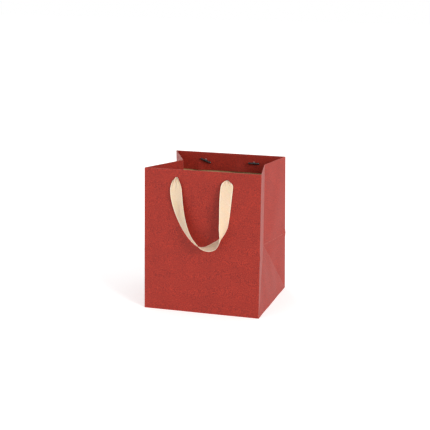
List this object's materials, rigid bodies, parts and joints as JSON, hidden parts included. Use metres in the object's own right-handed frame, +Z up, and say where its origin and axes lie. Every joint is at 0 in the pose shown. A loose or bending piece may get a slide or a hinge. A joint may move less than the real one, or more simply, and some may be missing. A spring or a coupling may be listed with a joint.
{
  "type": "gift bag",
  "caption": "Upright paper gift bag with folded side gussets, a turned-in hem, a flat bottom and ribbon loop handles that swing up for carrying.",
  "frame": {"origin": "middle of the bottom, on the surface the bag stands on", "axes": "+X across the bag, -Y out of the front wall, +Z up to the mouth"},
  "size_m": [0.2, 0.2008, 0.24],
  "materials": {
    "red_paper": "brick-red kraft paper, matt with a faint grain, natural brown inside",
    "hem_paper": "brick-red kraft paper, matt",
    "board": "uncoated grey-brown board",
    "ribbon": "cream woven twill tape",
    "barb": "glossy black moulded plastic"
  },
  "bodies": {
    "bag": {"front_panel": "red_paper", "back_panel": "red_paper", "left_gusset_front": "red_paper", "left_gusset_back": "red_paper", "left_gusset_corner_front": "red_paper", "left_gusset_corner_back": "red_paper", "left_gusset_base": "red_paper", "right_gusset_front": "red_paper", "right_gusset_back": "red_paper", "right_gusset_corner_front": "red_paper", "right_gusset_corner_back": "red_paper", "right_gusset_base": "red_paper", "bottom_flap_front": "red_paper", "bottom_flap_back": "red_paper", "bottom_tuck_left": "red_paper", "bottom_tuck_right": "red_paper", "side_seam_flap": "red_paper", "bottom_board": "board", "front_hem_board": "board", "back_hem_board": "board", "front_turned_hem": "hem_paper", "back_turned_hem": "hem_paper", "left_turned_hem_front": "hem_paper", "left_turned_hem_back": "hem_paper", "right_turned_hem_front": "hem_paper", "right_turned_hem_back": "hem_paper"},
    "front_handle": {"front_ribbon": "ribbon"},
    "back_handle": {"back_ribbon": "ribbon"},
    "front_left_barb": {"front_left_barb": "barb"},
    "front_right_barb": {"front_right_barb": "barb"},
    "back_left_barb": {"back_left_barb": "barb"},
    "back_right_barb": {"back_right_barb": "barb"}
  },
  "joints": [
    {"name": "front_handle_swing", "type": "hinge", "parent": "bag", "child": "front_handle", "pos_m": [0, -0.08212, 0.22508], "axis": [-1, 0, 0], "range_deg": [0, 171]},
    {"name": "back_handle_swing", "type": "hinge", "parent": "bag", "child": "back_handle", "pos_m": [0, 0.08212, 0.22508], "axis": [1, 0, 0], "range_deg": [0, 171]},
    {"name": "front_left_barb_swivel", "type": "hinge", "parent": "bag", "child": "front_left_barb", "pos_m": [-0.044, -0.08062, 0.22501], "axis": [0, -0.9991, 0.0416], "range_deg": [-80, 80]},
    {"name": "front_right_barb_swivel", "type": "hinge", "parent": "bag", "child": "front_right_barb", "pos_m": [0.044, -0.08062, 0.22501], "axis": [0, -0.9991, 0.0416], "range_deg": [-80, 80]},
    {"name": "back_left_barb_swivel", "type": "hinge", "parent": "bag", "child": "back_left_barb", "pos_m": [-0.044, 0.08062, 0.22501], "axis": [0, 0.9991, 0.0416], "range_deg": [-80, 80]},
    {"name": "back_right_barb_swivel", "type": "hinge", "parent": "bag", "child": "back_right_barb", "pos_m": [0.044, 0.08062, 0.22501], "axis": [0, 0.9991, 0.0416], "range_deg": [-80, 80]}
  ]
}
